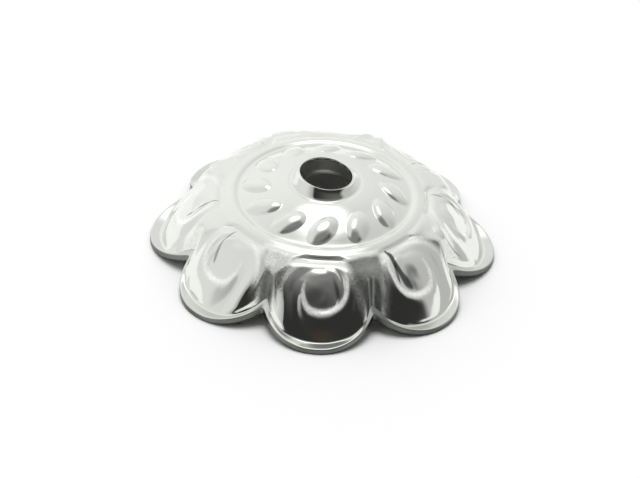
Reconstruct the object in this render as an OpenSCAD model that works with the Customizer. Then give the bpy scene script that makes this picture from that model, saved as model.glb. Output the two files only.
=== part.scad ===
// Eight-petal bead cap, a shallow cup of silvered metal with a raised collar round its hole.
// The origin is on the axis, level with the lowest points of the petal tips. +Z points up.
// Petals carry scrolls in relief, turned left and right by turns. Petal 0 points along -Y.

/* [Rim] */
// Distance from the axis to a petal's tip
tip_r = 5; // [4.5:0.1:5.4]
// Radius of the round end of a petal
petal_r = 1.55; // [1.45:0.01:1.65]
// How softly two petals run into each other in the notch between them, in degrees
notch_soft = 1; // [0.5:0.1:2]
// Height of the rim's lower edge in a notch, above the petal tips
notch_rise = 0.4; // [0.2:0.05:0.7]
// Height of the cut edge at a petal's tip
edge_h = 0.17; // [0.12:0.01:0.25]
// Width of the narrow foot that runs along the rim
foot_w = 0.29; // [0.2:0.01:0.4]
// How far the foot climbs from the cut edge to the wall
foot_rise = 0.02; // [0:0.01:0.1]

/* [Dome] */
// Radius where the dome of petals begins, just outside the raised ring
dome_start_r = 2.88; // [2.8:0.01:2.95]
// Height of the dome where it begins
dome_top_z = 1.75; // [1.6:0.01:1.85]
// How fast a petal falls away, as drop per square of distance
dome_fall = 0.42; // [0.3:0.01:0.5]
// How fast the web between two petals falls away, as drop per cube of distance
web_fall = 0.33; // [0.2:0.01:0.4]
// Steepness of the wall behind a petal's tip
wall_slope = 1.8; // [1.4:0.1:2.2]
// How much less steep the wall is towards a petal's sides
side_slope = 0.7; // [0:0.1:1]
// How much steeper the wall is in a notch
notch_slope = 4; // [2:0.5:8]
// Depth of the groove between the raised ring and a scroll
groove = 0.05; // [0:0.01:0.1]
// Height of the ledge from the raised ring down to a petal
ledge_h = 0.1; // [0:0.01:0.1]

/* [Crown] */
// Radius of the raised ring's crest
ring_r = 2.65; // [2.55:0.01:2.7]
// Height of the raised ring's crest
ring_z = 1.92; // [1.85:0.01:2]
// Height of the crown beside the collar
crown_z = 2.36; // [2.3:0.01:2.45]
// Number of grains round the crown
grain_count = 12; // [8:1:16]
// Radius of the circle that the grains lie on
grain_circle_r = 1.98; // [1.8:0.01:2.1]
// Half of a grain's length
grain_half_l = 0.5; // [0.3:0.01:0.6]
// Half of a grain's width
grain_half_w = 0.3; // [0.2:0.01:0.35]
// Height of a grain above the crown
grain_h = 0.12; // [0.05:0.01:0.2]
// Lean of a grain away from the radius, in degrees
grain_lean = 40; // [0:1:60]

/* [Collar] */
// Diameter of the hole
hole_d = 1.5; // [1:0.1:1.5]
// Outer radius of the collar's lip
lip_r = 0.8; // [0.79:0.01:0.85]
// Outer radius of the collar's foot
collar_r = 1.08; // [1.04:0.01:1.15]
// Height of the lip on the axis
lip_z = 2.65; // [2.5:0.01:2.9]
// Tilt of the lip, lower towards +X, in degrees
lip_tilt = 6; // [0:1:8]

/* [Metal] */
// Drop from the outside to the inside where the metal lies flat
wall_down = 0.2; // [0.15:0.01:0.3]
// Inward step from the outside to the inside where the metal stands upright
wall_in = 0.16; // [0.12:0.01:0.25]

/* [Hidden] */
petal_count = 8;
half_pitch = 180 / petal_count;
petal_circle_r = tip_r - petal_r;
columns = 20;
column_count = petal_count * columns;
step = 0.1;

// Scroll's raised strand on one petal, in its own plan: x to the right, y outwards from the axis
// [x, y, half-width, height]
scroll = [
    [-0.93, 4.48, 0.30, 0.04],
    [-1.00, 4.22, 0.30, 0.08],
    [-1.05, 3.92, 0.30, 0.10],
    [-1.03, 3.64, 0.30, 0.09],
    [-0.84, 3.36, 0.30, 0.07],
    [-0.50, 3.15, 0.29, 0.06],
    [-0.10, 3.09, 0.28, 0.05],
    [ 0.30, 3.12, 0.27, 0.05],
    [ 0.60, 3.28, 0.26, 0.06],
    [ 0.77, 3.56, 0.26, 0.08],
    [ 0.79, 3.84, 0.26, 0.11],
    [ 0.67, 4.12, 0.26, 0.14],
    [ 0.45, 4.28, 0.26, 0.16],
    [ 0.20, 4.35, 0.26, 0.16],
    [-0.06, 4.35, 0.25, 0.15],
    [-0.30, 4.26, 0.24, 0.12],
    [-0.43, 4.10, 0.22, 0.09],
    [-0.46, 3.95, 0.20, 0.07],
];
// Eye of the scroll, a shallow dish: [x, y, radius, depth]
eye = [0.1, 3.94, 0.5, 0.07];

// Crown from the collar out to the dome
// [radius, height]
crown = [
    [collar_r - 0.1, crown_z + 0.01],
    [1.32, crown_z - 0.05],
    [1.48, crown_z - 0.095],
    [1.62, crown_z - 0.14],
    [1.76, crown_z - 0.19],
    [1.90, crown_z - 0.24],
    [2.04, crown_z - 0.29],
    [2.18, crown_z - 0.35],
    [2.32, crown_z - 0.415],
    [ring_r - 0.15, ring_z - 0.045],
    [ring_r, ring_z],
    [ring_r + 0.1, ring_z - 0.045],
];
// Rows of the dome, as shares of the way from its start to the foot of its wall
dome_rows = [0, 0.09, 0.18, 0.27, 0.36, 0.45, 0.54, 0.62, 0.7, 0.77, 0.84, 0.9, 0.95, 1];
// Rows of the inside, the same way, from the foot back up
inner_rows = [0.97, 0.8, 0.55, 0.2];

function clamp01(v) = min(max(v, 0), 1);
function smooth01(v) = let (t = clamp01(v)) t * t * (3 - 2 * t);

// Angle from the nearest petal's middle line, negative on the side of its scroll's broad band;
// every other petal is a mirror image
function petal_angle(angle) = let (petal = round(angle / (2 * half_pitch)))
    (angle - 2 * half_pitch * petal) * (petal % 2 == 0 ? 1 : -1);

// Rim: the petals' round ends, run together softly in the notches
function folded(a) = half_pitch - sqrt(pow(half_pitch - abs(a), 2) + pow(notch_soft, 2));
function rim_r(a) = let (m = folded(a))
    petal_circle_r * cos(m) + sqrt(pow(petal_r, 2) - pow(petal_circle_r * sin(m), 2));
notch_r = rim_r(half_pitch);
function notch_share(a) = (tip_r - rim_r(a)) / (tip_r - notch_r);
function rim_low_z(a) = notch_rise * max(notch_share(a) - 0.03, 0);
function rim_top_z(a) = rim_low_z(a) + edge_h + 0.06 * notch_share(a);

// The foot is narrowest at a petal's sides
function foot_r(a) = let (n = notch_share(a)) rim_r(a) - foot_w
    + (0.1 + 0.07 * smooth01(a / 8)) * smooth01(n / 0.35) * (1 - 0.7 * smooth01((n - 0.7) / 0.3));
function foot_z(a) = rim_top_z(a) + foot_rise + 0.19 * pow(notch_share(a), 2);

// Dome and wall, blended into one convex curve
function blend_min(p, q, soft) = let (h = max(soft - abs(p - q), 0) / soft)
    min(p, q) - h * h * soft / 4;
function skirt_z(r, a) = let (
        n = notch_share(a),
        out = max(r - dome_start_r, 0),
        ledge = ledge_h * (1 - smooth01(out / (0.13 + 0.35 * smooth01((n - 0.18) / 0.4)))),
        fall = dome_fall * pow(max(out - 0.1, 0), 2),
        web = (fall - web_fall * pow(out, 3)) * smooth01((n - 0.15) / 0.5),
        dip = groove * smooth01((0.3 - n) / 0.3) * smooth01(out / 0.04) * (1 - smooth01(out / 0.35)),
        dome = dome_top_z + ledge - fall + web - dip,
        slope = wall_slope - side_slope * n + notch_slope * pow(n, 5),
        wall = foot_z(a) + slope * (foot_r(a) - r),
        soft = 0.9 - 0.75 * smooth01((n - 0.05) / 0.75)
    ) max(blend_min(dome, wall, soft), foot_z(a));

// Height of a rounded strand of relief at p, the highest of its stretches
function across(p, s, t) = let (
        d = [t[0] - s[0], t[1] - s[1]],
        k = clamp01(((p[0] - s[0]) * d[0] + (p[1] - s[1]) * d[1]) / (d * d)),
        gap = norm([p[0] - s[0] - k * d[0], p[1] - s[1] - k * d[1]]),
        w = s[2] + k * (t[2] - s[2]),
        h = s[3] + k * (t[3] - s[3])
    ) h * pow(max(1 - pow(gap / w, 2), 0), 2);
function strand(p, rows) = max([for (i = [0 : len(rows) - 2]) across(p, rows[i], rows[i + 1])]);
function relief(p) = strand(p, scroll)
    - eye[3] * pow(max(1 - pow(norm([p[0] - eye[0], p[1] - eye[1]]) / eye[2], 2), 0), 2);

// A point of the petals' outside: the smooth skirt, moved out along its normal by the relief
function skirt_point(share, column) = let (
        angle = column * 360 / column_count,
        a = petal_angle(angle),
        r = dome_start_r + share * (foot_r(a) - dome_start_r),
        z = skirt_z(r, a),
        fall = (skirt_z(r - step, a) - z) / step,
        rise = skirt_z(r, petal_angle(angle + 2)) - skirt_z(r, petal_angle(angle - 2)),
        turn = rise / (r * PI / 45),
        fade = smooth01(share / 0.06) * smooth01((1 - share) / 0.08),
        h = fade * relief([r * sin(a), r * cos(a)]) / norm([fall, turn, 1])
    ) place(r + h * fall, angle - h * turn / r * 180 / PI, z + h);

// A grain is an oval swelling that leans away from the radius
function grain_bump(r, angle) = let (
        g = angle - 360 / grain_count * round(angle * grain_count / 360),
        u = r * sin(g),
        v = r * cos(g) - grain_circle_r,
        along = -u * sin(grain_lean) + v * cos(grain_lean),
        over = u * cos(grain_lean) + v * sin(grain_lean),
        q = pow(along / grain_half_l, 2) + pow(over / grain_half_w, 2)
    ) grain_h * max(1 - pow(q, 1.5), 0);

// Angles run from -Y towards +X
function place(r, angle, z) = [r * sin(angle), -r * cos(angle), z];
function ring_of_points(f) = [for (c = [0 : column_count - 1]) f(c * 360 / column_count)];

function crown_row(row) = ring_of_points(function (angle)
    place(row[0], angle, row[1] + grain_bump(row[0], angle)));
function skirt_row(share) = [for (c = [0 : column_count - 1]) skirt_point(share, c)];
function edge_row(step_in, z) = ring_of_points(function (angle) let (a = petal_angle(angle))
    place(rim_r(a) - step_in, angle, z(a)));
function inner_row(share) = ring_of_points(function (angle) let (
        a = petal_angle(angle),
        r = dome_start_r + share * (foot_r(a) - dome_start_r)
    ) place(r - wall_in, angle, skirt_z(r, a) - wall_down));

rows = concat(
    [for (row = crown) crown_row(row)],
    [for (share = dome_rows) skirt_row(share)],
    [edge_row(0, function (a) rim_top_z(a)), edge_row(0, function (a) rim_low_z(a))],
    [edge_row(wall_in, function (a) rim_low_z(a))],
    [for (share = inner_rows) inner_row(share)],
    [for (row = [crown[8], crown[4], crown[0]])
        ring_of_points(function (angle) place(row[0], angle, row[1] - wall_down))]
);

// The petals, raised ring, crown and grains as one shell, closed from row to row
module shell() {
    row_count = len(rows);
    polyhedron(
        points = [for (row = rows) each row],
        faces = [for (i = [0 : row_count - 1], j = [0 : column_count - 1])
            let (
                i2 = (i + 1) % row_count,
                j2 = (j + 1) % column_count,
                p = i * column_count + j,
                q = i2 * column_count + j,
                s = i2 * column_count + j2,
                t = i * column_count + j2,
                rising = norm(rows[i][j] - rows[i2][j2]) < norm(rows[i2][j] - rows[i][j2])
            ) each (rising ? [[p, s, q], [p, t, s]] : [[p, t, q], [q, t, s]])],
        convexity = 6
    );
}

// The collar round the hole, flared at its foot and cut aslant at its lip
module collar() {
    bore_r = hole_d / 2;
    low_z = crown_z - wall_down - 0.06;
    spare = 0.2;
    difference() {
        rotate_extrude($fn = 96)
            polygon([
                [bore_r, low_z],
                [collar_r, low_z],
                [collar_r, crown_z + 0.01],
                [collar_r - 0.11, crown_z + 0.03],
                [lip_r + 0.015, lip_z - 0.07],
                [lip_r, lip_z - 0.03],
                [lip_r, lip_z + spare],
                [bore_r, lip_z + spare],
            ]);
        translate([0, 0, lip_z])
            rotate([0, lip_tilt, 0])
                translate([-2, -2, 0])
                    cube([4, 4, 2]);
    }
}

module cap() {
    color("silver") {
        shell();
        collar();
    }
}

cap();
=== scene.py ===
"""Bead cap in polished silver plating: a scalloped cup of scrolled petals with a grained crown."""
import math
from types import SimpleNamespace

import bpy
import numpy as np
from mathutils import Matrix, Vector


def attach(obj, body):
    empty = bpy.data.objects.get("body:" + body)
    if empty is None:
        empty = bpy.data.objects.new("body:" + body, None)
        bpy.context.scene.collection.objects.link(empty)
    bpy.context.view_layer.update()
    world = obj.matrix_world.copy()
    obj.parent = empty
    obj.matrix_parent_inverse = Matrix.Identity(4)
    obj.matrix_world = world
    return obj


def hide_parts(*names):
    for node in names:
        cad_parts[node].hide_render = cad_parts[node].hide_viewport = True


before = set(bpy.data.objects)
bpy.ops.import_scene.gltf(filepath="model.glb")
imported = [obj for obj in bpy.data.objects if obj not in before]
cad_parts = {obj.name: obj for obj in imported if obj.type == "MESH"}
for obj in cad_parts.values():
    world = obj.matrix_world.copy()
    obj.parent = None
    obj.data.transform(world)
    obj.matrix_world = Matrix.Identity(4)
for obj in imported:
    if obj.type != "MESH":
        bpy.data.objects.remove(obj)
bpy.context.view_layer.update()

bl_info = {
    "name": "Bead cap",
    "version": (1, 0, 0),
    "blender": (4, 5, 0),
    "location": "View3D > Sidebar > Bead cap",
    "description": "Makes a scalloped silver bead cap and its stage",
    "category": "Object",
}

MM = 0.001
PITCH = 45.0  # degrees from one petal to the next
SECTOR = 90.0  # degrees of the sector that repeats: one petal, its mirror image and three grains
GRAIN_PITCH = 30.0  # degrees from one grain to the next
# From a property's own unit to the millimetres and degrees in which the shapes are worked out
UNIT_SCALE = {"LENGTH": 1 / MM, "ROTATION": 180 / math.pi, "NONE": 1.0}


def length_prop(name, description, millimetres):
    return bpy.props.FloatProperty(name=name, description=description, default=millimetres * MM,
                                   unit="LENGTH", precision=5)


def angle_prop(name, description, degrees):
    return bpy.props.FloatProperty(name=name, description=description, default=math.radians(degrees),
                                   subtype="ANGLE")


def ratio_prop(name, description, value):
    return bpy.props.FloatProperty(name=name, description=description, default=value)


def colour_prop(name, description, value):
    return bpy.props.FloatVectorProperty(name=name, description=description, default=value,
                                         subtype="COLOR", min=0.0, max=1.0)


class CapSizes(bpy.types.PropertyGroup):
    """Sizes of the cap"""

    tip_r: length_prop("Tip radius", "From the axis to a petal's tip", 5.0)
    petal_r: length_prop("Petal radius", "Round end of a petal", 1.55)
    notch_soft: angle_prop("Notch softness", "How softly two petals run into each other", 1.0)
    notch_rise: length_prop("Notch rise", "Lower edge of the rim in a notch, above the petal tips", 0.4)
    edge_h: length_prop("Edge height", "Cut edge at a petal's tip", 0.17)
    foot_w: length_prop("Foot width", "Narrow foot along the rim", 0.29)
    foot_rise: length_prop("Foot rise", "Climb of the foot from the cut edge to the wall", -0.02)
    dome_start_r: length_prop("Dome start", "Radius where the petals begin", 2.88)
    dome_top_z: length_prop("Dome height", "Height where the petals begin", 1.75)
    dome_fall: ratio_prop("Dome fall", "Drop of a petal per square of distance, in 1/mm", 0.42)
    web_fall: ratio_prop("Web fall", "Drop between two petals per cube of distance, in 1/mm2", 0.33)
    wall_slope: ratio_prop("Wall slope", "Steepness behind a petal's tip", 1.8)
    side_slope: ratio_prop("Side slope", "How much less steep a petal's sides are", 0.7)
    notch_slope: ratio_prop("Notch slope", "How much steeper the wall is in a notch", 4.0)
    ledge_h: length_prop("Ledge height", "From the raised ring down to a petal", 0.1)
    groove: length_prop("Groove", "Depth between the ring and a petal's scroll", 0.05)
    bore_r: length_prop("Hole radius", "Hole through the collar", 0.75)
    lip_z: length_prop("Lip height", "Lip of the collar on the axis", 2.65)
    lip_tilt: angle_prop("Lip tilt", "Lean of the lip, lower towards +X", 6.0)
    grain_circle_r: length_prop("Grain circle", "Radius of the circle that the grains lie on", 1.98)
    grain_half_l: length_prop("Grain length", "Half of a grain's length", 0.52)
    grain_half_w: length_prop("Grain width", "Half of a grain's width", 0.31)
    grain_h: length_prop("Grain height", "Height of a grain above the crown", 0.1)
    grain_lean: angle_prop("Grain lean", "Lean of a grain away from the radius", 40.0)
    wall_down: length_prop("Wall, flat", "Metal's thickness downwards", 0.2)
    wall_in: length_prop("Wall, upright", "Metal's thickness inwards", 0.16)


class SilverFinish(bpy.types.PropertyGroup):
    """Colours and gloss of the plating"""

    silver: colour_prop("Silver", "Polished plating", (0.90, 0.915, 0.87))
    # Dark colour of the cut edge and of the painted shade in the webs, inside and thin lines
    tarnish_and_shade: colour_prop("Tarnish", "Cut edge, hollows and grime", (0.094, 0.103, 0.092))
    # Pale colour of the matt lines of painted highlight on the scroll's crests
    frost_highlight_colour: colour_prop("Frosted", "Frosted lines on the relief", (0.94, 0.95, 0.92))
    gloss: bpy.props.FloatProperty(name="Roughness", description="Of the polished faces",
                                   default=0.09, min=0.0, max=1.0, subtype="FACTOR")


class StageLook(bpy.types.PropertyGroup):
    """Floor and lamp of the stage"""

    floor: colour_prop("Floor", "Plain pale floor", (0.93, 0.93, 0.93))
    floor_shade: colour_prop("Floor shade", "Its faint cloudiness", (0.90, 0.90, 0.90))
    lamp_w: length_prop("Lamp width", "Diameter of the soft lamp overhead", 240.0)
    lamp_power: bpy.props.FloatProperty(name="Lamp power", description="Of the soft lamp overhead",
                                        default=0.95, unit="POWER")


def plain_sizes(group):
    """The group's values, with lengths in millimetres and angles in degrees"""
    return SimpleNamespace(**{p.identifier: getattr(group, p.identifier) * UNIT_SCALE[p.unit]
                              for p in group.bl_rna.properties if p.type == "FLOAT"})


# The tables are in millimetres. Those on a petal are in its own plan, with x to the right of
# its middle line and y outwards from the axis

# Scroll's ridge: x, y, half-width, height
RIDGE = (
    (-0.93, 4.52, 0.20, 0.03),
    (-0.99, 4.28, 0.20, 0.07),
    (-1.04, 4.00, 0.20, 0.09),
    (-1.04, 3.70, 0.20, 0.09),
    (-0.90, 3.42, 0.20, 0.06),
    (-0.64, 3.21, 0.19, 0.045),
    (-0.30, 3.10, 0.17, 0.04),
    (0.00, 3.09, 0.16, 0.04),
    (0.30, 3.12, 0.14, 0.04),
    (0.56, 3.24, 0.12, 0.04),
    (0.72, 3.44, 0.11, 0.05),
    (0.79, 3.68, 0.12, 0.07),
    (0.78, 3.92, 0.13, 0.09),
    (0.66, 4.13, 0.14, 0.12),
    (0.46, 4.27, 0.15, 0.14),
    (0.22, 4.34, 0.15, 0.14),
    (-0.04, 4.33, 0.14, 0.11),
    (-0.26, 4.25, 0.11, 0.065),
    (-0.40, 4.12, 0.09, 0.04),
    (-0.46, 3.97, 0.07, 0.025),
)
# Faint second strand inside the curl: x, y, half-width, height
INNER_RIDGE = (
    (0.20, 3.22, 0.10, 0.02),
    (0.42, 3.44, 0.09, 0.03),
    (0.55, 3.68, 0.09, 0.04),
    (0.62, 3.90, 0.09, 0.04),
    (0.58, 4.08, 0.10, 0.06),
)
# Eye of the scroll, sunk below the petal: x, y, half-width, depth
EYE = (
    (-0.16, 4.02, 0.28, 0.03),
    (0.10, 4.00, 0.36, 0.06),
    (0.22, 3.84, 0.36, 0.05),
)
# Thin lines of painted shade and painted dark reflection: x, y, half-width, strength. They follow
# the inside of the ridge, its inner end and the foot of its broad band
SHADE_LINE_PATHS = (
    ((0.42, 2.95, 0.10, 0.8), (0.43, 3.12, 0.14, 1.0), (0.46, 3.30, 0.15, 1.0), (0.49, 3.50, 0.16, 1.0),
     (0.46, 3.70, 0.22, 1.0), (0.40, 3.86, 0.26, 1.0), (0.32, 3.98, 0.18, 0.8)),
    ((-0.58, 3.84, 0.08, 0.4), (-0.68, 3.95, 0.15, 0.7), (-0.80, 4.10, 0.16, 0.7), (-0.86, 4.24, 0.10, 0.4)),
    ((-1.27, 3.42, 0.10, 0.8), (-1.25, 3.62, 0.13, 1.0), (-1.21, 3.85, 0.14, 1.0), (-1.14, 4.08, 0.10, 0.8)),
)
# Pale matt lines, partly a matt frosting of the plating and partly painted highlight: x, y, half-width,
# strength. They follow the crest of the scroll's curl, the shoulder where its broad band begins and the
# crease up from the notch
FROST_AND_HIGHLIGHT_PATHS = (
    ((0.56, 3.20, 0.04, 0.3), (0.69, 3.38, 0.05, 0.6), (0.76, 3.60, 0.06, 0.9), (0.74, 3.88, 0.07, 1.0),
     (0.58, 4.06, 0.08, 1.0), (0.30, 4.17, 0.09, 1.0), (0.00, 4.21, 0.09, 1.0), (-0.26, 4.15, 0.08, 1.0),
     (-0.42, 3.99, 0.07, 1.0), (-0.47, 3.80, 0.06, 0.8), (-0.43, 3.62, 0.04, 0.4)),
    ((-1.17, 3.90, 0.05, 0.1), (-1.10, 3.70, 0.06, 0.35), (-0.97, 3.50, 0.07, 0.5), (-0.79, 3.33, 0.07, 0.5),
     (-0.56, 3.18, 0.07, 0.5), (-0.28, 3.06, 0.06, 0.35), (0.02, 3.02, 0.05, 0.1)),
    ((1.53, 3.78, 0.03, 0.5), (1.47, 3.66, 0.03, 0.5), (1.40, 3.54, 0.03, 0.4), (1.33, 3.42, 0.02, 0.1)),
)

# Crown from the collar's foot out over the raised ring to the petals: radius, height
CROWN = (
    (1.07, 2.36), (1.12, 2.355), (1.24, 2.33), (1.40, 2.29), (1.56, 2.24), (1.72, 2.185), (1.88, 2.13),
    (2.04, 2.07), (2.20, 2.00), (2.34, 1.935), (2.44, 1.89), (2.50, 1.873), (2.55, 1.885), (2.60, 1.907),
    (2.65, 1.917), (2.70, 1.912), (2.745, 1.899), (2.79, 1.884), (2.835, 1.867), (2.88, 1.85),
)
CROWN_STEP = 0.035  # from one row of points to the next
# Crown's inside, from the raised ring in to the collar: radius, height of the outside above it
CROWN_INSIDE = ((2.4, 1.94), (2.0, 2.1), (1.6, 2.24), (1.2, 2.33), (0.95, 2.345))
CROWN_EXTRA = 0.03  # how much thicker the crown is than the petals
INSIDE_LIFT = 0.02  # least height of the inside above the rim's lower edge
# Collar from the foot of the hole's wall up to its lip and down its flare:
# distance out from the hole's wall, depth below the lip
COLLAR = (
    (0.0, 0.57), (0.0, 0.40), (0.0, 0.22), (0.0, 0.10), (0.0, 0.05), (0.004, 0.028), (0.012, 0.014),
    (0.025, 0.008), (0.038, 0.014), (0.047, 0.03), (0.053, 0.05), (0.067, 0.072), (0.09, 0.103),
    (0.114, 0.134), (0.138, 0.165), (0.162, 0.196), (0.186, 0.227), (0.21, 0.257), (0.235, 0.279),
    (0.27, 0.289), (0.31, 0.293),
)
BORE_FOOT = (0.03, 0.585)  # the same, where the inside meets the hole
LIP_DEPTH = 0.06  # depth to which the hole's wall is as bright as the outside; below it the wall has the inside's painted shade
FOOT_END = 0.03  # where the foot's even slope ends, in from the rim
# Rounded corner from there to the cut edge: distance in from the rim, depth below its top
RIM_CORNER = ((0.035, 0.002), (0.012, 0.012), (0.0, 0.035))
# Lean of the lip: height where it begins, depth below the lip where it is full, radius where it ends
TILT_START_Z, TILT_FULL_DEPTH, TILT_R = 2.34, 0.03, 1.13
WELD = 0.001  # distance within which the sectors' points are joined

# Points across a sector, on the plain parts and on the petals, and rows down the petals
COARSE_COLUMNS, FINE_COLUMNS, SKIRT_ROWS = 101, 201, 68
SKIRT_SAMPLES = 400  # heights measured down the petals to space their rows
# Other rows, as shares of the way: down the foot, down the cut edge and back up the inside
FOOT_ROWS = (0.15, 0.4, 0.65, 0.85)
EDGE_ROWS = (0.35, 0.7, 1.0)
INSIDE_ROWS = (0.97, 0.8, 0.6, 0.4, 0.2, 0.05)

# What the finish reads at each point, from 0 to 1: cut edge, painted darker; web between two petals and
# inside, both with painted shade; nearness to a line of painted shade and dark reflection; pale matt lines
# of painted highlight
MASKS = ("edge", "web", "inside", "shade_lines", "frost_and_highlight")
FOOT_EDGE = 0.3  # how strongly the foot has the cut edge's darker colour and rougher polish


def clamp01(v):
    return np.clip(v, 0.0, 1.0)


def smooth01(v):
    t = clamp01(v)
    return t * t * (3 - 2 * t)


def smooth_path(rows, steps=5):
    """The rows, joined by a smooth curve through them"""
    p = np.array(rows, float)
    p = np.vstack([2 * p[0] - p[1], p, 2 * p[-1] - p[-2]])
    out = []
    for i in range(1, len(p) - 2):
        for t in np.arange(steps) / steps:
            out.append(0.5 * (2 * p[i] + (p[i + 1] - p[i - 1]) * t
                              + (2 * p[i - 1] - 5 * p[i] + 4 * p[i + 1] - p[i + 2]) * t ** 2
                              + (3 * p[i] - p[i - 1] - 3 * p[i + 1] + p[i + 2]) * t ** 3))
    return np.array(out + [p[-2]])


def even_rows(rows, step):
    """Points about a step apart on a smooth curve through the rows"""
    p = smooth_path([(r, z, 0) for r, z in rows], 12)[:, :2]
    d = np.r_[0, np.cumsum(np.linalg.norm(np.diff(p, axis=0), axis=1))]
    t = np.linspace(0, d[-1], max(2, int(round(d[-1] / step)) + 1))
    return np.stack([np.interp(t, d, p[:, 0]), np.interp(t, d, p[:, 1])], -1)


def along_path(x, y, rows, profile, outer=1.0):
    """The largest of profile(distance / half-width) * height over the path's stretches,
    with its outer flank, on the left of the way along it, wider by a factor"""
    path = smooth_path(rows)
    total = np.zeros_like(x)
    for a, b in zip(path[:-1], path[1:]):
        dx, dy = b[0] - a[0], b[1] - a[1]
        k = clamp01(((x - a[0]) * dx + (y - a[1]) * dy) / (dx * dx + dy * dy))
        over, down = x - a[0] - k * dx, y - a[1] - k * dy
        gap = np.hypot(over, down)
        w = (a[2] + k * (b[2] - a[2])) * np.where(dx * down - dy * over < 0, outer, 1.0)
        total = np.maximum(total, profile(gap / w) * (a[3] + k * (b[3] - a[3])))
    return total


def strand(q):
    """Profile of a raised strand, round on top and 1.5 half-widths wide at its foot"""
    return np.maximum(1 - (q / 1.5) ** 2, 0) ** 1.5


def petal_angle(angles):
    """Angle from the nearest petal's middle line; every other petal is a mirror image"""
    petal = np.round(angles / PITCH)
    return (angles - PITCH * petal) * np.where(petal % 2 == 0, 1.0, -1.0)


def petal_plan(r, a):
    """x and y in a petal's own plan"""
    return r * np.sin(np.radians(a)), r * np.cos(np.radians(a))


def placed(r, angles, z):
    """Points in metres; angles run from -Y towards +X"""
    t = np.radians(angles)
    return np.stack([r * np.sin(t), -r * np.cos(t), z + 0 * r], -1) * MM


class Cup:
    """The petals' outside, as functions of the radius and of the angle from a petal's middle line.
    The angle is negative on the side where the scroll's broad band runs down."""

    def __init__(self, s):
        self.s = s
        self.petal_circle_r = s.tip_r - s.petal_r
        self.notch_r = self.rim_r(np.array(PITCH / 2))

    def rim_r(self, a):
        """The petals' round ends, run together softly in the notches"""
        s, c = self.s, self.petal_circle_r
        m = np.radians(PITCH / 2 - np.sqrt((PITCH / 2 - np.abs(a)) ** 2 + s.notch_soft ** 2))
        return c * np.cos(m) + np.sqrt(s.petal_r ** 2 - (c * np.sin(m)) ** 2)

    def notch_share(self, a):
        """0 at a petal's tip, 1 in a notch"""
        return (self.s.tip_r - self.rim_r(a)) / (self.s.tip_r - self.notch_r)

    def rim_low_z(self, a):
        return self.s.notch_rise * np.maximum(self.notch_share(a) - 0.03, 0)

    def rim_top_z(self, a):
        return self.rim_low_z(a) + self.s.edge_h + 0.06 * self.notch_share(a)

    def foot_r(self, a):
        """Where the foot meets the wall; the foot is narrowest at a petal's sides"""
        n = self.notch_share(a)
        narrow = (0.10 + 0.07 * smooth01(a / 8)) * smooth01(n / 0.35) * (1 - 0.7 * smooth01((n - 0.7) / 0.3))
        return self.rim_r(a) - self.s.foot_w + narrow

    def foot_z(self, a):
        return self.rim_top_z(a) + self.s.foot_rise + 0.19 * self.notch_share(a) ** 2

    def skirt_z(self, r, a):
        """Height of the petals without their scrolls: dome and wall, blended into one curve"""
        s, n = self.s, self.notch_share(a)
        out = np.maximum(r - s.dome_start_r, 0)
        ledge_w = 0.13 + 0.35 * smooth01((n - 0.18) / 0.4)
        ledge = s.ledge_h * (1 - smooth01(out / ledge_w))
        groove = s.groove * smooth01((0.3 - n) / 0.3) * smooth01(out / 0.04) * (1 - smooth01(out / 0.35))
        fall = s.dome_fall * np.maximum(out - 0.1, 0) ** 2
        web = (fall - s.web_fall * out ** 3) * smooth01((n - 0.15) / 0.5)
        dome = s.dome_top_z + ledge - fall + web - groove
        slope = s.wall_slope - s.side_slope * n + s.notch_slope * n ** 5
        wall = self.foot_z(a) + slope * (self.foot_r(a) - r)
        soft = 0.9 - 0.75 * smooth01((n - 0.05) / 0.75)
        h = np.maximum(soft - np.abs(dome - wall), 0) / soft
        return np.maximum(np.minimum(dome, wall) - h * h * soft / 4, self.foot_z(a))

    def petal_z(self, r, a):
        """Height of the petals with their scrolls"""
        x, y = petal_plan(r, a)
        sink = along_path(x, y, EYE, lambda q: smooth01(1.2 - q))
        bump = np.maximum(along_path(x, y, RIDGE, strand, outer=1.6), along_path(x, y, INNER_RIDGE, strand))
        fade = smooth01((r - self.s.dome_start_r) / 0.1) * smooth01((self.foot_r(a) - r) / 0.1)
        return self.skirt_z(r, a) + fade * (bump - sink)

    def shade_lines(self, r, a):
        """How near a point lies to the middle of a line of painted shade and dark reflection, from 0 to 1"""
        x, y = petal_plan(r, a)
        return np.maximum.reduce([along_path(x, y, rows, lambda q: np.maximum(1 - q, 0)) for rows in SHADE_LINE_PATHS])

    def frost_and_highlight(self, r, a):
        """How much of a pale matt line of painted highlight a point has, from 0 to 1"""
        x, y = petal_plan(r, a)
        return np.maximum.reduce([along_path(x, y, rows, lambda q: smooth01(1.4 - q)) for rows in FROST_AND_HIGHLIGHT_PATHS])


def grain_z(s, r, angles):
    """Height of the grains above the crown: ovals that lean away from the radius"""
    g = angles - GRAIN_PITCH * np.round(angles / GRAIN_PITCH)
    u, v = r * np.sin(np.radians(g)), r * np.cos(np.radians(g)) - s.grain_circle_r
    c, n = math.cos(math.radians(s.grain_lean)), math.sin(math.radians(s.grain_lean))
    along, over = -u * n + v * c, u * c + v * n
    q = (along / s.grain_half_l) ** 2 + (over / s.grain_half_w) ** 2
    return s.grain_h * np.maximum(1 - q ** 1.5, 0)


def crown_rows(cup, angles):
    """From the hole's lower end up over the collar and down the grained crown to the petals"""
    s = cup.s
    for out, depth in COLLAR:
        yield s.bore_r + out, s.lip_z - depth, {"inside": 1.0 if out == 0 and depth > LIP_DEPTH else 0.0}
    for r, z in even_rows(CROWN, CROWN_STEP):
        yield r, z + grain_z(s, r, angles), {}


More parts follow.
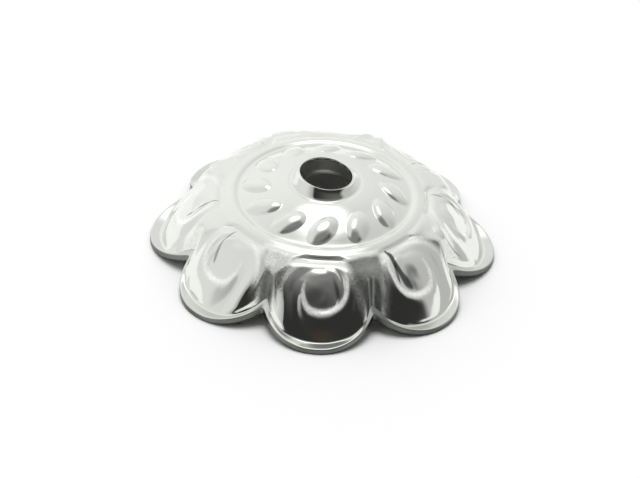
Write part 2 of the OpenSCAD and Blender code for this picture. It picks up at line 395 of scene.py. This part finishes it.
def skirt_rows(cup, angles):
    """Down the petals, with the rows spaced evenly along their slope"""
    s, a = cup.s, petal_angle(angles)
    r = s.dome_start_r + np.linspace(0, 1, SKIRT_SAMPLES)[:, None] * (cup.foot_r(a) - s.dome_start_r)
    z = cup.petal_z(r, a)
    steps = np.hypot(np.diff(r, axis=0), np.diff(z, axis=0))
    gone = np.vstack([0 * a, np.cumsum(steps, axis=0)])
    steep = -np.gradient(cup.skirt_z(r, a), axis=0) / np.gradient(r, axis=0)
    # Steep walls deep in a notch, which take the web's painted shade
    pocket = smooth01((steep - 1.5) / 1.5) * smooth01((cup.notch_share(a) - 0.5) / 0.4)
    for k in range(SKIRT_ROWS + 1):
        t = k / SKIRT_ROWS
        row_r, row_z, row_pocket = (
            np.array([np.interp(t * gone[-1, c], gone[:, c], grid[:, c]) for c in range(len(a))])
            for grid in (r, z, pocket))
        # The web between two petals, which carries painted shade
        between_petals = smooth01((np.abs(a) - 9 - 8 * t) / 6) * smooth01(t / 0.12)
        yield row_r, row_z, {"web": between_petals + 0.8 * row_pocket,
                             "shade_lines": cup.shade_lines(row_r, a), "frost_and_highlight": cup.frost_and_highlight(row_r, a)}


def rim_rows(cup, angles):
    """Over the foot and its rounded corner, and down the cut edge"""
    a = petal_angle(angles)
    rim, low, top = cup.rim_r(a), cup.rim_low_z(a), cup.rim_top_z(a)
    foot_r, foot_z = cup.foot_r(a), cup.foot_z(a)
    for t in FOOT_ROWS:
        yield foot_r + (rim - FOOT_END - foot_r) * t, foot_z + (top - foot_z) * t, {"edge": FOOT_EDGE}
    for inwards, depth in RIM_CORNER:
        yield rim - inwards, top - depth, {"edge": FOOT_EDGE if inwards else 1.0}
    corner = top - RIM_CORNER[-1][1]
    for t in EDGE_ROWS:
        yield rim, corner + (low - corner) * t, {"edge": 1.0}


def inside_rows(cup, angles):
    """From the rim back up the inside, which follows the outside without its relief"""
    s, a = cup.s, petal_angle(angles)
    low = cup.rim_low_z(a)
    yield cup.rim_r(a) - s.wall_in, low, {"edge": 1.0, "inside": 1.0}
    for t in INSIDE_ROWS:
        r = s.dome_start_r + t * (cup.foot_r(a) - s.dome_start_r)
        yield r - s.wall_in, np.maximum(cup.skirt_z(r, a) - s.wall_down, low + INSIDE_LIFT), {"inside": 1.0}
    for r, z in CROWN_INSIDE:
        yield r, z - s.wall_down - CROWN_EXTRA, {"inside": 1.0}
    out, depth = BORE_FOOT
    yield s.bore_r + out, s.lip_z - depth, {"inside": 1.0}


def sector_rows(s):
    """The sector's rows of points, once round its section, each with its masks"""
    cup = Cup(s)
    coarse, fine = (np.linspace(-PITCH / 2, SECTOR - PITCH / 2, n) for n in (COARSE_COLUMNS, FINE_COLUMNS))
    rows = []
    for part, angles in ((crown_rows, coarse), (skirt_rows, fine), (rim_rows, fine), (inside_rows, coarse)):
        for r, z, masks in part(cup, angles):
            r = r + 0 * angles
            rows.append((placed(r, angles, z), [masks.get(name, 0.0) + 0 * r for name in MASKS]))
    return rows


def strip(n, p, m, q):
    """Faces from a row of n points, numbered from p, to the next of m points, numbered from q.
    One of the two may have two steps for each of the other's."""
    if n == m:
        return [(q + k, q + k + 1, p + k + 1, p + k) for k in range(n - 1)]
    faces = []
    for k in range(min(n, m) - 1):
        if n < m:
            faces += [(p + k, q + 2 * k, q + 2 * k + 1), (p + k, q + 2 * k + 1, p + k + 1),
                      (p + k + 1, q + 2 * k + 1, q + 2 * k + 2)]
        else:
            faces += [(p + 2 * k, q + k, p + 2 * k + 1), (p + 2 * k + 1, q + k, q + k + 1),
                      (p + 2 * k + 1, q + k + 1, p + 2 * k + 2)]
    return faces


def sector_mesh(s):
    """One sector of the cap, closed from row to row and open at its two sides"""
    rows = sector_rows(s)
    sizes = [len(points) for points, masks in rows]
    starts = np.cumsum([0] + sizes)
    faces = []
    for i in range(len(rows)):
        j = (i + 1) % len(rows)
        faces += strip(sizes[i], starts[i], sizes[j], starts[j])
    mesh = bpy.data.meshes.new("cap_sector")
    mesh.from_pydata(np.vstack([points for points, masks in rows]).tolist(), [], faces)
    for k, name in enumerate(MASKS):
        layer = mesh.attributes.new(name, "FLOAT", "POINT")
        layer.data.foreach_set("value", np.concatenate([masks[k] for points, masks in rows]))
    mesh.update()
    return mesh


def turned_sector_tree():
    """Geometry Nodes that repeat a sector round the axis, weld it and give it its finish"""
    tree = bpy.data.node_groups.new("Sectors round the axis", "GeometryNodeTree")
    tree.interface.new_socket("Geometry", in_out="INPUT", socket_type="NodeSocketGeometry")
    names = {name: tree.interface.new_socket(name, in_out="INPUT", socket_type=kind).identifier
             for name, kind in (("Sectors", "NodeSocketInt"), ("Weld distance", "NodeSocketFloat"),
                                ("Finish", "NodeSocketMaterial"))}
    tree.interface.new_socket("Geometry", in_out="OUTPUT", socket_type="NodeSocketGeometry")

    def node(kind, inputs, **settings):
        """A new node's outputs, with the given sockets and values on its inputs"""
        made = tree.nodes.new(kind)
        for key, value in settings.items():
            setattr(made, key, value)
        for key, value in inputs.items():
            if isinstance(value, bpy.types.NodeSocket):
                tree.links.new(value, made.inputs[key])
            else:
                made.inputs[key].default_value = value
        return made.outputs

    sector, sectors, weld, finish = node("NodeGroupInput", {})[:4]
    points = node("GeometryNodePoints", {"Count": sectors})[0]
    index = node("GeometryNodeInputIndex", {})[0]
    step = node("ShaderNodeMath", {0: 2 * math.pi, 1: sectors}, operation="DIVIDE")[0]
    turn = node("ShaderNodeMath", {0: index, 1: step}, operation="MULTIPLY")[0]
    turned = node("ShaderNodeCombineXYZ", {"Z": turn})[0]
    copies = node("GeometryNodeInstanceOnPoints",
                  {"Points": points, "Instance": sector, "Rotation": turned})[0]
    real = node("GeometryNodeRealizeInstances", {"Geometry": copies})[0]
    welded = node("GeometryNodeMergeByDistance", {"Geometry": real, "Distance": weld})[0]
    smooth = node("GeometryNodeSetShadeSmooth", {"Geometry": welded})[0]
    coated = node("GeometryNodeSetMaterial", {"Geometry": smooth, "Material": finish})[0]
    node("NodeGroupOutput", {0: coated})
    return tree, names


def tilt_lip(mesh, s):
    """Leans the collar's upper part down towards +X"""
    p = np.empty(len(mesh.vertices) * 3)
    mesh.vertices.foreach_get("co", p)
    p = p.reshape(-1, 3)
    r = np.hypot(p[:, 0], p[:, 1])
    rise = (s.lip_z - TILT_FULL_DEPTH - TILT_START_Z) * MM
    lift = smooth01((p[:, 2] - TILT_START_Z * MM) / rise) * (r < TILT_R * MM)
    p[:, 2] -= lift * p[:, 0] * math.tan(math.radians(s.lip_tilt))
    mesh.vertices.foreach_set("co", p.ravel())
    mesh.update()


class Shade:
    """A shader socket on which Python's operators add Math nodes"""

    def __init__(self, tree, socket):
        self.tree, self.socket = tree, socket

    def math(self, operation, *values):
        made = self.tree.nodes.new("ShaderNodeMath")
        made.operation = operation
        for slot, value in zip(made.inputs, values):
            if isinstance(value, Shade):
                self.tree.links.new(value.socket, slot)
            else:
                slot.default_value = value
        return Shade(self.tree, made.outputs[0])

    def __add__(self, other):
        return self.math("ADD", self, other)

    def __sub__(self, other):
        return self.math("SUBTRACT", self, other)

    def __rsub__(self, other):
        return self.math("SUBTRACT", other, self)

    def __mul__(self, other):
        return self.math("MULTIPLY", self, other)

    __radd__, __rmul__ = __add__, __mul__

    def rising(self, low, high):
        """0 below the low value, rising softly to 1 at the high one"""
        made = self.tree.nodes.new("ShaderNodeMapRange")
        made.interpolation_type = "SMOOTHSTEP"
        self.tree.links.new(self.socket, made.inputs["Value"])
        made.inputs["From Min"].default_value, made.inputs["From Max"].default_value = low, high
        return Shade(self.tree, made.outputs[0])

    def falling(self, low, high):
        """1 below the low value, falling softly to 0 at the high one"""
        return 1.0 - self.rising(low, high)


class Finish:
    """A material, its shader, the place on the piece and the nodes that feed the shader"""

    def __init__(self, name):
        self.material = bpy.data.materials.new(name)
        self.material.use_nodes = True
        self.tree = self.material.node_tree
        self.shader = self.tree.nodes["Principled BSDF"]
        self.place = Shade(self.tree, self.node("ShaderNodeTexCoord").outputs["Object"])

    def node(self, kind, settings=None, **values):
        """A new node with its settings, and with values or shades on its inputs"""
        made = self.tree.nodes.new(kind)
        for key, value in (settings or {}).items():
            setattr(made, key, value)
        for key, value in values.items():
            self.feed(made.inputs[key], value)
        return made

    def feed(self, slot, value):
        if isinstance(value, Shade):
            self.tree.links.new(value.socket, slot)
        else:
            slot.default_value = value

    def attribute(self, name):
        return Shade(self.tree, self.node("ShaderNodeAttribute", {"attribute_name": name}).outputs["Fac"])

    def noise(self, scale, detail=3.0, roughness=0.5):
        """Noise with the given number of patches to the metre"""
        made = self.node("ShaderNodeTexNoise", Vector=self.place, Scale=scale, Detail=detail,
                         Roughness=roughness)
        return Shade(self.tree, made.outputs["Fac"])

    def near(self, point, core, reach):
        """1 within the core round a point, falling softly to 0 at the reach"""
        gap = self.node("ShaderNodeVectorMath", {"operation": "DISTANCE"}, Vector=self.place)
        gap.inputs[1].default_value = point
        return Shade(self.tree, gap.outputs["Value"]).falling(core, reach)

    def mix(self, factor, one, other):
        """Two colours mixed; a Mix node has them on sockets 6 and 7 and the result on 2"""
        made = self.node("ShaderNodeMix", {"data_type": "RGBA"})
        self.feed(made.inputs[0], factor)
        for slot, value in ((made.inputs[6], one), (made.inputs[7], other)):
            self.feed(slot, value if isinstance(value, Shade) else (*value, 1.0))
        return Shade(self.tree, made.outputs[2])


# Places on the cap, in metres: the middle of the front petal and the webs at its two sides
FRONT_PETAL = (0.0, -0.0040, 0.0010)
RIGHT_WEB = (0.0018, -0.0031, 0.0014)
LEFT_WEB = (-0.0015, -0.0033, 0.0013)


def silver_finish(look):
    """Polished plating with painted shade in its hollows, webs, inside and thin lines, a darker cut edge,
    coarse webs and pale matt crests of painted highlight
    """
    f = Finish("polished_silver")
    edge, web, inside, shade_lines, frost_and_highlight = (f.attribute(name) for name in MASKS)
    cloud = f.noise(700.0)
    skin = f.noise(9000.0, 4.0, 0.6)
    grit = f.noise(14000.0, 2.0, 0.6).rising(0.42, 0.58)

    # Beside the front petal the webs have a coarser bump and rougher polish, and their painted shade and
    # that along the thin lines are darker there
    coarse = f.near(RIGHT_WEB, 0.0011, 0.0026)
    coarse = coarse.math("MAXIMUM", coarse, f.near(LEFT_WEB, 0.0007, 0.0016) * 0.5)
    darkest_shade = f.near(RIGHT_WEB, 0.0009, 0.0014)
    fore = f.near(FRONT_PETAL, 0.0062, 0.0076)
    # Painted dark reflections and shade along the thin lines, kept to the front petal and darkest by the web
    # at its right
    lines = shade_lines.rising(0.72, 0.95) * (1.0 - coarse) * fore * 0.55 + shade_lines.rising(0.3, 0.8) * darkest_shade * 0.9
    # Painted shade in the webs, inside and thin lines, and a darker cut edge
    shade_and_dark_edge = (edge * 0.8 + inside * 0.25 + web * (coarse * 0.7 + 0.06)) * (cloud * 0.6 + 0.7) + lines
    shade_and_dark_edge = shade_and_dark_edge * (1.0 - frost_and_highlight)
    clean = f.mix((cloud - 0.5) * 0.5 + 0.3, tuple(look.silver), tuple(c * 0.9 for c in look.silver))
    paint = f.mix(shade_and_dark_edge.rising(0.0, 1.0), clean, tuple(look.tarnish_and_shade))
    # Pale colour of the lines of painted highlight, over the painted shade
    f.feed(f.shader.inputs["Base Color"], f.mix(frost_and_highlight, paint, tuple(look.frost_highlight_colour)))

    # The lines of painted highlight and the coarse webs scatter light as a matt surface does, most of all at
    # the front
    facing = f.near(FRONT_PETAL, 0.0038, 0.0058)
    matt = frost_and_highlight * (grit * 0.25 + 0.75) * (facing * 0.5 + 0.4)
    matt = matt.math("MAXIMUM", matt, web * coarse * (grit * 0.3 + 0.35))
    f.feed(f.shader.inputs["Metallic"], 1.0 - matt)
    rough = (cloud - 0.5) * 0.08 + look.gloss + edge * 0.25 + inside * 0.25 + web * (coarse * 0.16 + 0.1)
    f.feed(f.shader.inputs["Roughness"], rough)

    height = skin * (web * (coarse * 4.5 + 2.5) + 0.15) + f.noise(1600.0, 2.0) * 0.6
    bump = f.node("ShaderNodeBump", Strength=0.35, Distance=0.01 * MM, Height=height)
    f.feed(f.shader.inputs["Normal"], Shade(f.tree, bump.outputs["Normal"]))
    return f.material


def floor_finish(look):
    """Pale, matt and faintly cloudy"""
    f = Finish("pale_floor")
    f.feed(f.shader.inputs["Base Color"], f.mix(f.noise(60.0), tuple(look.floor), tuple(look.floor_shade)))
    f.shader.inputs["Roughness"].default_value = 0.7
    return f.material


class CAP_OT_cup(bpy.types.Operator):
    """Make the cup: petals with their scrolls, ring, grained crown and collar, in one closed mesh"""

    bl_idname = "bead_cap.cup"
    bl_label = "Cup"

    def execute(self, context):
        scene = context.scene
        s = plain_sizes(scene.cap_sizes)
        material = silver_finish(scene.cap_finish)
        tree, names = turned_sector_tree()
        sector = bpy.data.objects.new("cap_sector", sector_mesh(s))
        sector.data.materials.append(material)
        scene.collection.objects.link(sector)
        ring = sector.modifiers.new("Sectors", "NODES")
        ring.node_group = tree
        ring[names["Sectors"]] = int(round(360 / SECTOR))
        ring[names["Weld distance"]] = WELD * MM
        ring[names["Finish"]] = material
        whole = sector.evaluated_get(context.evaluated_depsgraph_get())
        mesh = bpy.data.meshes.new_from_object(whole)
        mesh.name = "cap_body"
        bpy.data.objects.remove(sector)
        tilt_lip(mesh, s)
        piece = bpy.data.objects.new("silver_cup", mesh)
        scene.collection.objects.link(piece)
        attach(piece, "root")
        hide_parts("cap")
        return {"FINISHED"}


FLOOR_HALF_W = 0.4  # metres
LAMP_PLACE = (-0.02, 0.085, 0.39)  # metres, behind the cap and high above it
# The photo's size and the place of the cap's origin in it, in pixels
PHOTO_W, PHOTO_H, ORIGIN_X, ORIGIN_Y = 640, 478, 322.06, 246.50
# The camera's height over the floor and its roll in degrees, distance, lens and sensor in millimetres
CAMERA_RISE, CAMERA_ROLL, CAMERA_REACH, CAMERA_LENS, CAMERA_SENSOR = 37.36, 3.22, 108.25, 209.5, 36.0


def add_floor(scene, look):
    w = FLOOR_HALF_W
    mesh = bpy.data.meshes.new("floor")
    mesh.from_pydata([(-w, -w, 0), (w, -w, 0), (w, w, 0), (-w, w, 0)], [], [(0, 1, 2, 3)])
    mesh.materials.append(floor_finish(look))
    floor = bpy.data.objects.new("floor", mesh)
    scene.collection.objects.link(floor)


def sky_spot(tree, where, turn, rise, core, reach):
    """1 within the core round a direction in the sky, falling softly to 0 at the reach.
    All are in degrees, and a turn is from -Y towards +X."""
    t, e = math.radians(turn), math.radians(rise)
    dot = tree.nodes.new("ShaderNodeVectorMath")
    dot.operation = "DOT_PRODUCT"
    dot.inputs[1].default_value = (math.cos(e) * math.sin(t), -math.cos(e) * math.cos(t), math.sin(e))
    tree.links.new(where, dot.inputs[0])
    far, close = math.cos(math.radians(reach)), math.cos(math.radians(core))
    return Shade(tree, dot.outputs["Value"]).rising(far, close)


def add_sky(scene):
    """A pale studio that shines on the cap and shows in its polish. In front, from low left to right,
    it has a dark field that is grey higher up."""
    world = bpy.data.worlds.new("pale_studio")
    world.use_nodes = True
    scene.world = world
    tree = world.node_tree
    where = tree.nodes.new("ShaderNodeTexCoord").outputs["Generated"]
    apart = tree.nodes.new("ShaderNodeSeparateXYZ")
    tree.links.new(where, apart.inputs[0])
    x, y, rise = (Shade(tree, socket) for socket in apart.outputs)
    turn = x.math("ARCTAN2", x, y * -1.0)  # radians from -Y towards +X

    high = rise.rising(0.50, 0.90)
    block = turn.rising(-0.75, -0.62) * turn.falling(1.1, 1.45) * rise.falling(0.80, 0.92)
    dark = block.math("MAXIMUM", block, sky_spot(tree, where, 15, 60, 18, 38))
    dim = turn.rising(-1.2, -0.7) * turn.falling(0.4, 1.2) * (1.0 - high)
    left, rear = sky_spot(tree, where, -100, 20, 10, 150), sky_spot(tree, where, 178, 12, 15, 75)
    walls = left * 0.26 + rear * 0.2 + 0.52
    window = sky_spot(tree, where, -176, 73, 8, 18) * 0.7
    level = walls * (1.0 - dim * 0.4) * (1.0 - dark) + (high * 0.20 + 0.03) * dark + window
    warm = block * rise.falling(0.17, 0.24) * turn.falling(0.1, 0.5) * 0.025

    colour = tree.nodes.new("ShaderNodeCombineColor")
    for slot, value in zip(colour.inputs, (level + warm, level + warm * 0.35, level)):
        tree.links.new(value.socket, slot)
    tree.links.new(colour.outputs[0], tree.nodes["Background"].inputs["Color"])


def add_lamp(scene, look):
    """A soft round lamp that doesn't show in the polish"""
    data = bpy.data.lights.new("overhead", "AREA")
    data.shape, data.size, data.energy = "DISK", look.lamp_w, look.lamp_power
    lamp = bpy.data.objects.new("overhead", data)
    lamp.location = LAMP_PLACE
    lamp.visible_glossy = False
    lamp.rotation_euler = (-Vector(LAMP_PLACE)).to_track_quat("-Z", "Y").to_euler()
    scene.collection.objects.link(lamp)


def add_camera(scene):
    """Camera above the front petal at the photo's angle, with the photo's slight roll"""
    rise, roll = math.radians(CAMERA_RISE), math.radians(CAMERA_ROLL)
    back = Vector((0, -math.cos(rise), math.sin(rise)))
    up = Vector((0, math.sin(rise), math.cos(rise)))
    right = Vector((1, 0, 0))
    x = right * math.cos(roll) + up * math.sin(roll)
    y = up * math.cos(roll) - right * math.sin(roll)
    data = bpy.data.cameras.new("camera")
    data.lens, data.sensor_width = CAMERA_LENS, CAMERA_SENSOR
    data.shift_x, data.shift_y = (PHOTO_W / 2 - ORIGIN_X) / PHOTO_W, (ORIGIN_Y - PHOTO_H / 2) / PHOTO_W
    data.clip_start, data.clip_end = 0.01, 5
    camera = bpy.data.objects.new("camera", data)
    place = Matrix.Translation(back * CAMERA_REACH * MM)
    camera.matrix_world = place @ Matrix((x, y, back)).transposed().to_4x4()
    scene.collection.objects.link(camera)
    scene.camera = camera


class CAP_OT_stage(bpy.types.Operator):
    """Make the pale floor, the soft lights and the camera"""

    bl_idname = "bead_cap.stage"
    bl_label = "Stage"

    def execute(self, context):
        scene = context.scene
        look = scene.cap_stage
        add_floor(scene, look)
        add_sky(scene)
        add_lamp(scene, look)
        add_camera(scene)
        scene.view_settings.view_transform = "Standard"
        return {"FINISHED"}


class CAP_PT_panel(bpy.types.Panel):
    """Lists the pieces of the cap"""

    bl_idname = "CAP_PT_panel"
    bl_label = "Bead cap"
    bl_space_type = "VIEW_3D"
    bl_region_type = "UI"
    bl_category = "Bead cap"

    def draw(self, context):
        for kind in OPERATORS:
            self.layout.operator(kind.bl_idname)


OPERATORS = (CAP_OT_cup, CAP_OT_stage)
CLASSES = (CapSizes, SilverFinish, StageLook, *OPERATORS, CAP_PT_panel)


def register():
    for kind in CLASSES:
        bpy.utils.register_class(kind)
    bpy.types.Scene.cap_sizes = bpy.props.PointerProperty(type=CapSizes)
    bpy.types.Scene.cap_finish = bpy.props.PointerProperty(type=SilverFinish)
    bpy.types.Scene.cap_stage = bpy.props.PointerProperty(type=StageLook)


def unregister():
    del bpy.types.Scene.cap_sizes, bpy.types.Scene.cap_finish, bpy.types.Scene.cap_stage
    for kind in reversed(CLASSES):
        bpy.utils.unregister_class(kind)


def main():
    register()
    bpy.ops.bead_cap.cup()
    bpy.ops.bead_cap.stage()


if __name__ == "__main__":
    main()
